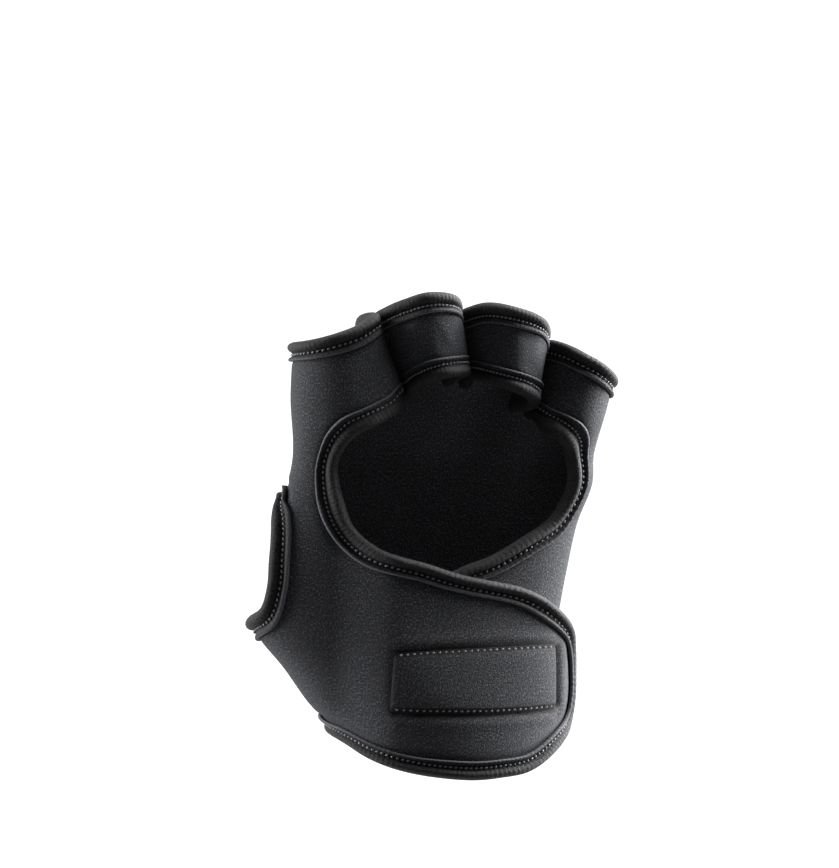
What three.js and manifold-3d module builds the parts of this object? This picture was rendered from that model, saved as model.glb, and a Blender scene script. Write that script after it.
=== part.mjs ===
// Fingerless neoprene training glove, right-handed, in the full form it takes in use.
// Millimetres. X runs to the little-finger side, Y to the palm side, Z to the finger rims.
// The wrist opening is centred on the origin.
import * as THREE from 'three';
import Module from 'manifold-3d';

// Driving dimensions
const neoprene = 2.6;
const tape = 0.6;
const gap = 0.3;
const tapeSeat = 0.5;
const pressDepth = 0.6;
const tapeWidth = 6.8;
const beadRise = 0.35;
const strapLift = 5.9;
const strapSettle = 0.25;
const webHalf = 1.45;
const palmSpan = 110;
const backSpan = 102;
const patchSize = { rise: 1.1, seat: 0.3 };
const padSize = { rise: 1.5, seat: 0.6 };

// The outlines of the back are drawn on a plane turned to the thumb side.
const drawingTurn = THREE.MathUtils.degToRad(13);

// Tables
// A table gives its columns as smooth functions of the first one.
function table(names, rows) {
  const at = rows.map((row) => row[0]);
  return (value) => {
    const place = Math.min(Math.max(value, at[0]), at[at.length - 1]);
    let k = 0;
    while (k < at.length - 2 && place > at[k + 1]) {
      k += 1;
    }
    const step = at[k + 1] - at[k];
    const f = (place - at[k]) / step;
    const result = {};
    names.forEach((name, column) => {
      const slope = (i) => {
        const before = Math.max(i - 1, 0);
        const after = Math.min(i + 1, at.length - 1);
        return (rows[after][column] - rows[before][column]) / (at[after] - at[before]);
      };
      const [from, to] = [rows[k][column], rows[k + 1][column]];
      const [m0, m1] = [slope(k) * step, slope(k + 1) * step];
      const f2 = f * f;
      const f3 = f2 * f;
      result[name] = (2 * f3 - 3 * f2 + 1) * from + (f3 - 2 * f2 + f) * m0
        + (3 * f2 - 2 * f3) * to + (f3 - f2) * m1;
    });
    return result;
  };
}

// Outer face of the glove, one row per height.
const handAt = table(
  ['z', 'thumbX', 'littleX', 'thumbY', 'littleY', 'back', 'palmThumb', 'palmLittle', 'square'],
  [
    [-4, -30.5, 31.5, 0, 0, 21, 21, 21, 2.1],
    [14, -34.2, 32.8, 0.5, 0, 20.5, 22, 22, 2.1],
    [24, -41.8, 34.7, 1.5, 0, 19.5, 24, 23, 2.15],
    [33, -48, 35, 2.5, 0, 18.5, 26, 23.5, 2.2],
    [43, -56, 35.2, 4, 0.5, 17.8, 27.5, 23, 2.25],
    [52, -59.8, 36.9, 5, 1, 17.2, 27.5, 22, 2.3],
    [62, -59, 38.9, 4.5, 1, 16.6, 26, 21, 2.35],
    [76, -53.6, 42.2, 3, 1, 16, 21.5, 19, 2.4],
    [88, -47.6, 46.7, 1.5, 0.5, 15.5, 17, 17, 2.6],
    [98, -45.6, 47.2, 0.5, 0.5, 15, 15, 15, 2.9],
    [114, -46.2, 51.7, 0.5, 1, 14.5, 13, 13, 3.6],
    [124, -45.8, 53.6, 0.5, 1, 14, 12.5, 12, 3.8],
    [146, -44.8, 53.2, 0.5, 1, 13.5, 12.5, 11.5, 3.8],
  ],
);

// Right flanks and crests of the finger bands.
const bandAt = table(
  ['z', 'index', 'middle', 'ring', 'indexTop', 'middleTop', 'ringTop', 'littleTop'],
  [
    [98, -10, 7.6, 25, 15.2, 16.8, 16, 14.2],
    [108, -11.4, 7.4, 26.8, 15, 16.8, 16, 13.8],
    [119, -14.2, 7.1, 29.8, 14.6, 16.6, 15.6, 13.2],
    [131, -18.6, 6.2, 31.7, 14, 16, 15, 12.4],
    [140, -21.4, 4.7, 32, 13.5, 15.6, 14.6, 12],
    [150, -22.8, 3.6, 32, 13.2, 15.2, 14.2, 12],
  ],
);

// The middle of a web lies this far inside the right flank of the band beside it.
const flankReach = 0.7;

// Curves on a level
function quarter(fromX, centreX, centreY, depth, square, steps) {
  const reach = fromX - centreX;
  return Array.from({ length: steps + 1 }, (_, i) => {
    const turn = (i / steps) * Math.PI / 2;
    return new THREE.Vector2(
      centreX + reach * Math.cos(turn) ** (2 / square),
      centreY + depth * Math.sin(turn) ** (2 / square),
    );
  });
}

function line(from, to, steps) {
  return Array.from({ length: steps + 1 }, (_, i) => from.clone().lerp(to, i / steps));
}

// A flank that eases from the bulge of a band into its web.
function flank(from, to, steps) {
  return Array.from({ length: steps + 1 }, (_, i) => {
    const f = i / steps;
    const ease = f * f * (3 - 2 * f);
    return new THREE.Vector2(from.x + (to.x - from.x) * ease, from.y + (to.y - from.y) * f);
  });
}

function joined(...parts) {
  const points = [];
  parts.flat().forEach((point) => {
    if (!points.length || points[points.length - 1].distanceTo(point) > 1e-6) {
      points.push(point);
    }
  });
  return points;
}

// Lengths along a run of points, for looking a place up by its length.
function measured(points) {
  const lengths = [0];
  for (let i = 1; i < points.length; i += 1) {
    lengths.push(lengths[i - 1] + points[i].distanceTo(points[i - 1]));
  }
  const total = lengths[lengths.length - 1];
  return {
    total,
    at(length) {
      let k = 0;
      let top = points.length - 1;
      while (top - k > 1) {
        const middle = (top + k) >> 1;
        if (lengths[middle] <= length) {
          k = middle;
        } else {
          top = middle;
        }
      }
      const f = (length - lengths[k]) / (lengths[k + 1] - lengths[k]);
      return points[k].clone().lerp(points[k + 1], f);
    },
  };
}

// The right flank of a band bulges over the left flank of the next one.
const rightFlankY = -6;
const leftSquare = 1.5;

// Index and little bands, from the side of the glove over the back and into the web.
function sideBand(sideX, sideY, flankX, flankY, square, top, web, legEnd) {
  const crestX = (sideX + flankX) / 2;
  return joined(
    quarter(sideX, crestX, sideY, -top - sideY, 2.3, 16),
    quarter(flankX, crestX, flankY, -top - flankY, square, 16).reverse(),
    flank(new THREE.Vector2(flankX, flankY), new THREE.Vector2(web, 2), 8),
    line(new THREE.Vector2(web, 2), new THREE.Vector2(web, legEnd), 4),
  );
}

// Middle and ring bands, from one web over the back and into the other.
function archBand(left, right, top, webRight, legEnd) {
  const crestX = (left + right) / 2;
  return joined(
    line(new THREE.Vector2(left, legEnd), new THREE.Vector2(left, 0), 5),
    quarter(left, crestX, 0, -top, leftSquare, 16),
    quarter(right, crestX, rightFlankY, -top - rightFlankY, 2, 16).reverse(),
    flank(new THREE.Vector2(right, rightFlankY), new THREE.Vector2(webRight, 2), 8),
    line(new THREE.Vector2(webRight, 2), new THREE.Vector2(webRight, legEnd), 4),
  );
}

const smooth = THREE.MathUtils.smoothstep;

function remembered(build) {
  const kept = new Map();
  return (z) => {
    const key = Math.round(z * 1e5);
    if (!kept.has(key)) {
      kept.set(key, build(z));
    }
    return kept.get(key);
  };
}

// Depth at which the fabric in the webs meets the rim of the palm.
const legEndAt = (z) => handAt(z).palmLittle - neoprene - tape - tapeSeat - gap - 0.5;

// One level of the glove: the back from either side, and the palm.
const levelAt = remembered((z) => {
  const hand = handAt(z);
  const band = bandAt(z);
  const middle = (hand.thumbX + hand.littleX) / 2;
  const legEnd = legEndAt(z);
  const littleLeft = band.ring - flankReach + webHalf;
  const backFromThumb = quarter(hand.thumbX, middle, hand.thumbY, -hand.back - hand.thumbY,
    hand.square * 0.98, 24);
  const backFromLittle = quarter(hand.littleX, middle, hand.littleY, -hand.back - hand.littleY,
    hand.square * 0.98, 24);
  const palmFromThumb = quarter(hand.thumbX, middle, hand.thumbY,
    hand.palmThumb - hand.thumbY, hand.square, 24);
  const palmFromLittle = quarter(hand.littleX, middle, hand.littleY,
    hand.palmThumb - hand.littleY, hand.square, 24);
  palmFromLittle.forEach((point) => {
    const f = smooth(point.x, middle, hand.littleX);
    point.y += (hand.palmLittle - hand.palmThumb) * f * (point.y / hand.palmThumb);
  });
  return {
    fromThumb: measured(joined(backFromThumb, [...backFromLittle].reverse())),
    fromLittle: measured(joined(backFromLittle, [...backFromThumb].reverse())),
    palm: measured(joined(palmFromThumb, [...palmFromLittle].reverse())),
    indexBand: measured(sideBand(hand.thumbX, hand.thumbY, band.index, rightFlankY, 2,
      band.indexTop, band.index - flankReach - webHalf, legEnd)),
    littleBand: measured(sideBand(hand.littleX, hand.littleY, littleLeft, 0,
      leftSquare, band.littleTop, littleLeft, legEnd)),
    bandShare: smooth(z, 97, 109),
  };
});

// Surfaces: each gives a point of the outer face for a place across and a height.
function onBack(level, plain, band, across) {
  const point = plain.at((across / backSpan) * plain.total);
  return level.bandShare > 0 ? point.lerp(band.at(across), level.bandShare) : point;
}

function handFace(across, z) {
  const level = levelAt(z);
  let point;
  if (across >= 0) {
    point = onBack(level, level.fromThumb, level.indexBand, across);
  } else if (across > -palmSpan) {
    point = level.palm.at((-across / palmSpan) * level.palm.total);
  } else {
    point = onBack(level, level.fromLittle, level.littleBand, -across - palmSpan);
  }
  return new THREE.Vector3(point.x, point.y, z);
}

function archFace(build, span) {
  const curveAt = remembered((z) => measured(build(z)));
  return (across, z) => {
    const curve = curveAt(z);
    const point = curve.at((across / span) * curve.total);
    return new THREE.Vector3(point.x, point.y, z);
  };
}

const archSpan = 78;
function archBetween(left, right, crest) {
  return archFace((z) => {
    const band = bandAt(z);
    return archBand(band[left] - flankReach + webHalf, band[right], band[crest],
      band[right] - flankReach - webHalf, legEndAt(z));
  }, archSpan);
}
const middleFace = archBetween('index', 'middle', 'middleTop');
const ringFace = archBetween('middle', 'ring', 'ringTop');

// A skin adds depth to a face: height above it is measured along its normal.
function skin(face, lift) {
  const step = 0.5;
  const outward = (across, z) => {
    const a = face(across + step, z).sub(face(across - step, z));
    const b = face(across, z + step).sub(face(across, z - step));
    return a.cross(b).normalize();
  };
  return (across, z, height) => {
    const normal = outward(across, z);
    return face(across, z).addScaledVector(normal, height + (lift ? lift(across, z) : 0));
  };
}

// Distance across the drawing of a point.
const drawnAcross = (point) => point.x * Math.cos(drawingTurn) - point.y * Math.sin(drawingTurn);

// The strap rises over the panel that it closes on, and settles towards its end.
function strapRise(across, z) {
  if (across <= 0 || z > 82) {
    return 0;
  }
  const drawn = drawnAcross(handFace(across, z));
  const settled = 1 - strapSettle * smooth(drawn, 27, 39);
  return strapLift * smooth(drawn, -33, -13) * settled * (1 - smooth(z, 66, 82));
}
const handSkin = skin(handFace, strapRise);
const middleSkin = skin(middleFace);
const ringSkin = skin(ringFace);

// Outlines on the flat pattern
// First place across the pattern, going in from a side, that reaches a drawn distance.
function placeOf([drawn, z], fromThumb) {
  const sign = fromThumb ? 1 : -1;
  const origin = fromThumb ? 0 : -palmSpan;
  const over = (s) => sign * (drawnAcross(handSkin(origin + sign * s, z, 0)) - drawn);
  const limit = z > 97 ? 42 : backSpan;
  let s = 0;
  while (s < limit && over(s) < 0) {
    s += 0.4;
  }
  return new THREE.Vector3(origin + sign * s, z, 0);
}

const flat = ([across, z]) => new THREE.Vector3(across, z, 0);
const fromThumbSide = (rows) => rows.map((row) => placeOf(row, true));
const fromLittleSide = (rows) => rows.map((row) => placeOf(row, false));

function path(points, count, closed = false) {
  const curve = new THREE.CatmullRomCurve3(points, closed, 'centripetal');
  const spaced = curve.getSpacedPoints(count);
  if (closed) {
    spaced.pop();
  }
  return spaced;
}

// Edge of the fabric from the index web round the back opening, the strap and the
// wrist to the little web, as drawn from the back (drawn distance, height).
const strapSide = fromThumbSide([
  [-13.2, 109.8], [-20.4, 105.6], [-25.8, 102.8], [-30, 98], [-31.5, 93.6], [-31, 88.5],
  [-29.5, 83], [-26.7, 75.9], [-22.8, 71.7], [-17.4, 68.2], [-11.1, 66.1], [-4.8, 64.5],
  [5.4, 61.2], [15.6, 59.1], [26.1, 57], [33, 53.2],
]);
const littleSide = fromLittleSide([
  [-1.5, 58.6], [5.4, 63], [15.6, 66.9], [26.1, 72.9], [33.6, 77.7], [37.2, 82.8],
  [39, 87.3], [39.2, 93], [38.3, 97.2], [36, 100.8], [32.4, 103.8],
]);
const strapFoot = fromThumbSide([
  [32.4, 7.2], [26.7, 2.6], [18, 0.6], [9.3, 0], [-3.9, 1.3], [-12.9, 3.2], [-21.6, 6.4],
  [-28.5, 10.4],
]);
const underStrap = fromLittleSide([[-9, 16], [-9.5, 26], [-9, 38], [-7, 48]]);
const indexLeg = (z) => levelAt(z).indexBand.total;
const littleLeg = (z) => -palmSpan - levelAt(z).littleBand.total;
const edgePath = path([
  flat([indexLeg(114) - 1, 114]), flat([50, 113.8]), flat([43, 112.4]),
  ...strapSide,
  ...[[98.6, 44.5], [100.6, 38.5], [101, 31.5], [100.2, 24.5], [97.4, 17]].map(flat),
  ...strapFoot,
  ...[[0, 12.8], [-13, 14.2], [-28, 14.6], [-46, 12.8], [-64, 10.4], [-82, 8.6], [-98, 7.6],
    [-palmSpan, 7], [-palmSpan - 18, 6.2], [-palmSpan - 38, 6.2], [-palmSpan - 56, 8.4]].map(flat),
  ...underStrap,
  ...littleSide,
  flat([-palmSpan - 32, 105.6]), flat([-palmSpan - 37, 107.6]), flat([-palmSpan - 41, 108.5]),
  flat([littleLeg(108.8) + 1, 108.8]),
], 114);

// Rims of the finger holes, from the index web round the palm to the little web.
const rimPath = path([
  [indexLeg(138) - 1, 138], [44, 139.6], [38, 140.2], [32, 139.2], [24, 135.4], [12, 132],
  [0, 131.2], [-14, 131.6], [-30, 133], [-48, 135.4], [-64, 134], [-82, 129.5], [-98, 122.5],
  [-palmSpan, 120.4], [-palmSpan - 9, 122], [-palmSpan - 18, 126.4], [-palmSpan - 27, 130.4],
  [-palmSpan - 35, 132], [littleLeg(131.5) + 1, 131.5],
].map(flat), 52);

// Thumb hole, its back edge as drawn and the rest on the pattern.
const thumbPath = path([
  ...fromThumbSide([[-50.2, 80.5], [-51.2, 74], [-51.9, 66], [-52.6, 57.5], [-54.4, 51.5]]),
  ...[[0, 48.4], [-9, 47.6], [-19, 50], [-27, 56.5], [-29.5, 66], [-26, 75], [-18, 81],
    [-9, 83.4], [-1, 83.2]].map(flat),
], 30, true);

// Offsets a path on the pattern; a positive distance goes to its left.
function shifted(points, distance, closed = false) {
  return points.map((point, i) => {
    const before = closed ? (i + points.length - 1) % points.length : Math.max(i - 1, 0);
    const after = closed ? (i + 1) % points.length : Math.min(i + 1, points.length - 1);
    const along = points[after].clone().sub(points[before]).normalize();
    return new THREE.Vector3(point.x - along.y * distance, point.y + along.x * distance, 0);
  });
}

// Solids
function solidOf(geometry) {
  const position = geometry.getAttribute('position');
  const found = new Map();
  const vertices = [];
  const triangles = [];
  const index = geometry.index ? geometry.index.array : null;
  const count = index ? index.length : position.count;
  for (let i = 0; i < count; i += 1) {
    const k = index ? index[i] : i;
    const point = [position.getX(k), position.getY(k), position.getZ(k)];
    const key = point.map((value) => Math.round(value * 1e5)).join(' ');
    if (!found.has(key)) {
      found.set(key, vertices.length / 3);
      vertices.push(...point);
    }
    triangles.push(found.get(key));
  }
  return new wasm.Manifold(new wasm.Mesh({
    numProp: 3,
    vertProperties: new Float32Array(vertices),
    triVerts: new Uint32Array(triangles),
  }));
}

function geometryOf(vertices, triangles) {
  const geometry = new THREE.BufferGeometry();
  geometry.setAttribute('position', new THREE.Float32BufferAttribute(vertices, 3));
  geometry.setIndex(triangles);
  return geometry;
}

// A slab of cells on the flat pattern between two depths.
function slab(columns, rows, from, to) {
  const [nc, nr] = [columns.length, rows.length];
  const vertices = [];
  [from, to].forEach((depth) => {
    rows.forEach((z) => columns.forEach((across) => vertices.push(across, z, depth)));
  });
  const at = (side, r, c) => side * nc * nr + r * nc + c;
  const triangles = [];
  const quad = (a, b, c, d) => triangles.push(a, b, c, a, c, d);
  for (let r = 0; r < nr - 1; r += 1) {
    for (let c = 0; c < nc - 1; c += 1) {
      quad(at(1, r, c), at(1, r, c + 1), at(1, r + 1, c + 1), at(1, r + 1, c));
      quad(at(0, r, c), at(0, r + 1, c), at(0, r + 1, c + 1), at(0, r, c + 1));
    }
  }
  for (let c = 0; c < nc - 1; c += 1) {
    quad(at(0, 0, c), at(0, 0, c + 1), at(1, 0, c + 1), at(1, 0, c));
    quad(at(0, nr - 1, c + 1), at(0, nr - 1, c), at(1, nr - 1, c), at(1, nr - 1, c + 1));
  }
  for (let r = 0; r < nr - 1; r += 1) {
    quad(at(0, r + 1, 0), at(0, r, 0), at(1, r, 0), at(1, r + 1, 0));
    quad(at(0, r, nc - 1), at(0, r + 1, nc - 1), at(1, r + 1, nc - 1), at(1, r, nc - 1));
  }
  return geometryOf(vertices, triangles);
}

// A prism on an outline that passes through the pattern.
function prism(points) {
  const shape = new THREE.Shape(points.map((point) => new THREE.Vector2(point.x, point.y)));
  const geometry = new THREE.ExtrudeGeometry(shape, { depth: neoprene + 4, bevelEnabled: false });
  geometry.translate(0, 0, -neoprene - 2);
  return geometry;
}

// Lays a flat solid on a skin. The pattern runs from the right of the back round to its
// left, so that its depth axis points out of the glove once the faces are turned over.
function laid(geometry, over) {
  const position = geometry.getAttribute('position');
  for (let i = 0; i < position.count; i += 1) {
    const point = over(position.getX(i), position.getY(i), position.getZ(i));
    position.setXYZ(i, point.x, point.y, point.z);
  }
  return geometry;
}

function fromSolid(solid) {
  const mesh = solid.getMesh();
  const vertices = [];
  for (let i = 0; i < mesh.vertProperties.length; i += mesh.numProp) {
    vertices.push(mesh.vertProperties[i], mesh.vertProperties[i + 1], mesh.vertProperties[i + 2]);
  }
  return geometryOf(vertices, Array.from(mesh.triVerts));
}

// Cross-section of a folded tape: [distance in from its fold, height].
// In the webs between the bands it is thinner and lies closer.
function foldedTape(full) {
  const seat = 0.38 + (tapeSeat - 0.38) * full;
  const out = seat + 0.4 + (tape - 0.4) * full;
  const bead = beadRise * full;
  const inner = -neoprene - seat;
  const underside = -neoprene - out;
  return [
    [tapeWidth, seat], [tapeWidth, out], [4.6, out + bead + 0.02], [1.5, out + bead * 1.6],
    [0.1, out - 0.25], [0, -neoprene], [0.6, underside], [tapeWidth, underside],
    [tapeWidth, inner], [tape + 0.2, inner], [tape + 0.2, seat],
  ];
}

// How full the tape is: it is pressed flat in the webs.
function handPlump(across, z) {
  if (z < 104) {
    return 1;
  }
  return across > 0 ? 1 - smooth(across, 30, 36) : 1 - smooth(-across - palmSpan, 22, 28);
}
const bandPlump = (across) => smooth(across, 14, 22) * (1 - smooth(across, 48, 56));

// Sweeps the folded tape along a path of the pattern.
function tapeAlong(points, over, plump, closed = false) {
  const outline = foldedTape(1).map(([x, y]) => new THREE.Vector2(x, y));
  const width = outline.length;
  const count = points.length;
  const rings = outline.map((corner) => shifted(points, corner.x, closed));
  const vertices = [];
  points.forEach((point, i) => {
    foldedTape(plump(point.x, point.y)).forEach(([, height], k) => {
      const place = over(rings[k][i].x, rings[k][i].y, height);
      vertices.push(place.x, place.y, place.z);
    });
  });
  const triangles = [];
  const spans = closed ? count : count - 1;
  for (let i = 0; i < spans; i += 1) {
    const next = (i + 1) % count;
    for (let k = 0; k < width; k += 1) {
      const m = (k + 1) % width;
      const [a, b, c, d] = [i * width + k, i * width + m, next * width + m, next * width + k];
      triangles.push(a, b, c, a, c, d);
    }
  }
  if (!closed) {
    THREE.ShapeUtils.triangulateShape(outline, []).forEach(([a, b, c]) => {
      const last = (count - 1) * width;
      triangles.push(a, c, b, last + a, last + b, last + c);
    });
  }
  return geometryOf(vertices, triangles);
}

// Turns every triangle over when the solid came out inside out.
function facingOut(geometry) {
  const position = geometry.getAttribute('position');
  const index = geometry.index.array;
  const [a, b, c] = [new THREE.Vector3(), new THREE.Vector3(), new THREE.Vector3()];
  let volume = 0;
  for (let i = 0; i < index.length; i += 3) {
    a.fromBufferAttribute(position, index[i]);
    b.fromBufferAttribute(position, index[i + 1]);
    c.fromBufferAttribute(position, index[i + 2]);
    volume += a.dot(b.cross(c));
  }
  if (volume < 0) {
    for (let i = 0; i < index.length; i += 3) {
      [index[i], index[i + 1]] = [index[i + 1], index[i]];
    }
  }
  geometry.computeVertexNormals();
  return geometry;
}

// Evenly divided places, closer together over each listed stretch.
function stops(stretches) {
  const places = [stretches[0][0]];
  stretches.forEach(([from, to, step]) => {
    const count = Math.max(1, Math.round(Math.abs(to - from) / step));
    for (let i = 1; i <= count; i += 1) {
      places.push(from + ((to - from) * i) / count);
    }
  });
  return places;
}

// The fabric is pressed thinner where a tape is sewn over its edge.
function pressed(height, distance) {
  const press = pressDepth * (1 - smooth(distance, tapeWidth - 0.5, tapeWidth + 1.5));
  return height - press * (1 + (2 * height) / neoprene);
}

function distanceTo(paths, across, z) {
  let nearest = Infinity;
  paths.forEach((points) => points.forEach((point) => {
    nearest = Math.min(nearest, Math.hypot(point.x - across, point.y - z));
  }));
  return nearest;
}

// Pieces
function handPanel() {
  const inset = tape + gap + 0.3;
  const outline = prism([...shifted(rimPath, inset), ...shifted(edgePath, -inset).reverse()]);
  const columns = stops([
    [-palmSpan - 72, -palmSpan - 44, 9], [-palmSpan - 44, -palmSpan - 14, 3.8],
    [-palmSpan - 14, -palmSpan + 9, 3.2], [-palmSpan + 9, -12, 11], [-12, 10, 2.75],
    [10, 34, 4.8], [34, 58, 4], [58, 86, 7], [86, 103, 2.9],
  ]);
  const rows = stops([[-4, 86, 5.3], [86, 114, 3.5], [114, 148, 5.6]]);
  const cells = solidOf(slab(columns, rows, -neoprene, 0));
  const cut = cells.intersect(solidOf(outline))
    .subtract(solidOf(prism(shifted(thumbPath, inset, true))));
  const paths = [edgePath, rimPath, thumbPath];
  return laid(fromSolid(cut), (across, z, height) => handSkin(across, z,
    pressed(height, distanceTo(paths, across, z))));
}

// Upper and lower edge of the middle and ring bands, along each arch.
const middleEdges = table(['across', 'low', 'high'], [
  [0, 115.5, 139], [14, 114.6, 141], [26, 117.6, 143.6], [39, 120.4, 146], [52, 121.2, 145.4],
  [62, 120.6, 142.5], [78, 118, 139],
]);
const ringEdges = table(['across', 'low', 'high'], [
  [0, 117, 139], [14, 119.6, 141.5], [26, 118.4, 143], [39, 116, 141.6], [52, 112.6, 138.4],
  [62, 110.4, 134], [78, 110, 131.5],
]);

function bandPanel(edges, over) {
  const inset = tape + gap + 0.3;
  const columns = stops([[0.6, 18, 5], [18, 48, 3.4], [48, 62, 2.4], [62, archSpan - 0.6, 5]]);
  const rows = stops([[0, 0.3, 0.3], [0.3, 0.7, 0.2], [0.7, 1, 0.3]]);
  const geometry = slab(columns, rows, -neoprene, 0);
  return laid(geometry, (across, share, height) => {
    const edge = edges(across);
    const z = edge.low + inset + (edge.high - edge.low - 2 * inset) * share;
    return over(across, z, pressed(height, Math.min(z - edge.low, edge.high - z)));
  });
}

function bandTape(edges, side, over) {
  const places = stops([[0.6, 18, 5], [18, 48, 3.4], [48, 62, 2.4], [62, archSpan - 0.6, 5]]);
  const points = places.map((across) => flat([across, edges(across)[side]]));
  return tapeAlong(side === 'high' ? points.reverse() : points, over, bandPlump);
}

// The patch is square to the drawing, so its ends are looked up at each height.
function strapPatch() {
  const geometry = slab(
    stops([[0, 1, 1 / 12]]),
    stops([[20.6, 39.2, 6.2]]),
    patchSize.seat,
    patchSize.seat + patchSize.rise,
  );
  return laid(geometry, (share, z, height) => {
    const from = placeOf([-15.6 + 0.06 * (z - 20.6), z], true).x;
    const to = placeOf([33.4, z], true).x;
    return handSkin(from + (to - from) * share, z, height);
  });
}

function closurePad() {
  const under = skin(handFace);
  const geometry = slab(
    stops([[61, 86, 4.3]]),
    stops([[17, 45, 7]]),
    padSize.seat,
    padSize.seat + padSize.rise,
  );
  return laid(geometry, under);
}

const fabric = { color: 0x2a2b2e, roughness: 0.9 };
const binding = { color: 0x17181a, roughness: 0.7 };

const wasm = await Module();
wasm.setup();

const glove = new THREE.Group();
glove.name = 'neoprene_glove';
function addPiece(name, geometry, look) {
  const mesh = new THREE.Mesh(facingOut(geometry), new THREE.MeshStandardMaterial(look));
  mesh.name = name;
  glove.add(mesh);
}

addPiece('hand_panel', handPanel(), fabric);
addPiece('middle_band', bandPanel(middleEdges, middleSkin), fabric);
addPiece('ring_band', bandPanel(ringEdges, ringSkin), fabric);
addPiece('finger_rim_tape', tapeAlong(rimPath, handSkin, handPlump), binding);
addPiece('edge_tape', tapeAlong([...edgePath].reverse(), handSkin, handPlump), binding);
addPiece('thumb_hole_tape', tapeAlong(thumbPath, handSkin, handPlump, true), binding);
addPiece('middle_upper_tape', bandTape(middleEdges, 'high', middleSkin), binding);
addPiece('middle_lower_tape', bandTape(middleEdges, 'low', middleSkin), binding);
addPiece('ring_upper_tape', bandTape(ringEdges, 'high', ringSkin), binding);
addPiece('ring_lower_tape', bandTape(ringEdges, 'low', ringSkin), binding);
addPiece('strap_patch', strapPatch(), binding);
addPiece('closure_pad', closurePad(), binding);

export default glove;
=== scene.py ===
import math
import random

import bpy
import numpy as np
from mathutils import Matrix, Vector
from mathutils.geometry import delaunay_2d_cdt


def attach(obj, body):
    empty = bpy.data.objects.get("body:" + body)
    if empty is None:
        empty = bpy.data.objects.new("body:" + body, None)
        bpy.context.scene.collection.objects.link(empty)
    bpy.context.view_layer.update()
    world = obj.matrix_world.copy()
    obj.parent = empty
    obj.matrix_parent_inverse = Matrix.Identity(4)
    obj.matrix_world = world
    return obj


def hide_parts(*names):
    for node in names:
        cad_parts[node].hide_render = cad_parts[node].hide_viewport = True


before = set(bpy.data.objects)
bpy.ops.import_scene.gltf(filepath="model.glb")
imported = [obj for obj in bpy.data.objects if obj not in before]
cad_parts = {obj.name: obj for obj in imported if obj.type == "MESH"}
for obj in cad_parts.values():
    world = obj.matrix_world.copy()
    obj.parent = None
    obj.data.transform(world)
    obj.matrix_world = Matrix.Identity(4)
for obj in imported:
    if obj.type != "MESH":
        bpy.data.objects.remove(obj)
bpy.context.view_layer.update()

# Camera: a long lens, level with the glove and 13 degrees round to its thumb side.
view = {
    "azimuth": -13,
    "aim": (-10.18, -14.07, 103.5),  # mm, on the glove's back
    "distance": 2.2,  # m
    "frameHeight": 260.4,  # mm of the glove's plane that the image takes in
    "sensorHeight": 24,  # mm
    "clipEnd": 20,  # m
}


def makeCamera():
    data = bpy.data.cameras.new("studioCamera")
    data.sensor_fit = "VERTICAL"
    data.sensor_height = view["sensorHeight"]
    data.lens = view["sensorHeight"] * view["distance"] * 1000 / view["frameHeight"]
    data.clip_end = view["clipEnd"]
    camera = bpy.data.objects.new("studioCamera", data)
    bpy.context.collection.objects.link(camera)
    turn = math.radians(view["azimuth"])
    aim = Vector(view["aim"]) / 1000
    camera.location = aim + view["distance"] * Vector((math.sin(turn), -math.cos(turn), 0))
    camera.rotation_euler = (aim - camera.location).to_track_quat("-Z", "Y").to_euler()
    bpy.context.scene.camera = camera


makeCamera()
print("camera placed")

# The sewing pattern is in mm. A place across it and a height give a point of the glove's
# outer face: 0 is the thumb side, positive goes over the back and negative round the palm.
cut = {
    "neoprene": 2.6,
    "palmSpan": 110,
    "backSpan": 102,
    "archSpan": 78,
    "drawingTurn": math.radians(13),
    "flankReach": 0.7,
    "webHalf": 1.45,
    "legGap": 4.5,  # from the palm's outer face to the ends of the webs
    "webShort": 1,  # the bindings end this far before a web's end
    "bandsFrom": (97, 109),  # heights over which the finger bands take shape
    "sideReach": 42,  # how far a place is looked for on a finger band
    "strapLift": 5.9,
    "strapRise": (-33, -13),  # drawn distances over which the strap lifts off
    "strapTop": (66, 82),  # heights over which it comes down again
    "strapSettle": 0.25,  # share of the lift that is gone at the strap's end
    "strapSettles": (27, 39),  # drawn distances over which it goes
    "gridStep": 0.5,
    "inset": 1.2,  # from the fold of a tape to the cut edge inside it
    "press": 0.6,  # how far a tape squeezes each face of the cloth
    "pressEnds": (4.9, 7.1),  # from the fold of the tape
}

# How square a finger band bends (2 is round), and where its flanks start and end.
bandShape = {
    "outerSquare": 2.3,
    "innerSquare": 2,
    "leftSquare": 1.5,
    "flankY": -6,
    "webY": 2,
    "backSquare": 0.98,  # the back is a little rounder than the palm
}


def tableOf(rows):
    rows = np.array(rows, float)
    at, values = rows[:, 0], rows[:, 1:]
    last = len(at) - 1
    slopes = np.array([
        (values[min(i + 1, last)] - values[max(i - 1, 0)]) / (at[min(i + 1, last)] - at[max(i - 1, 0)])
        for i in range(last + 1)
    ])

    def look(value):
        place = np.clip(np.asarray(value, float), at[0], at[-1])
        k = np.clip(np.searchsorted(at, place, side="right") - 1, 0, last - 1)
        step = at[k + 1] - at[k]
        f = ((place - at[k]) / step)[..., None]
        step = step[..., None]
        return (
            (2 * f**3 - 3 * f**2 + 1) * values[k] + (f**3 - 2 * f**2 + f) * slopes[k] * step
            + (3 * f**2 - 2 * f**3) * values[k + 1] + (f**3 - f**2) * slopes[k + 1] * step
        )

    return look


def smooth(value, low, high):
    f = np.clip((np.asarray(value, float) - low) / (high - low), 0, 1)
    return f * f * (3 - 2 * f)


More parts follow.
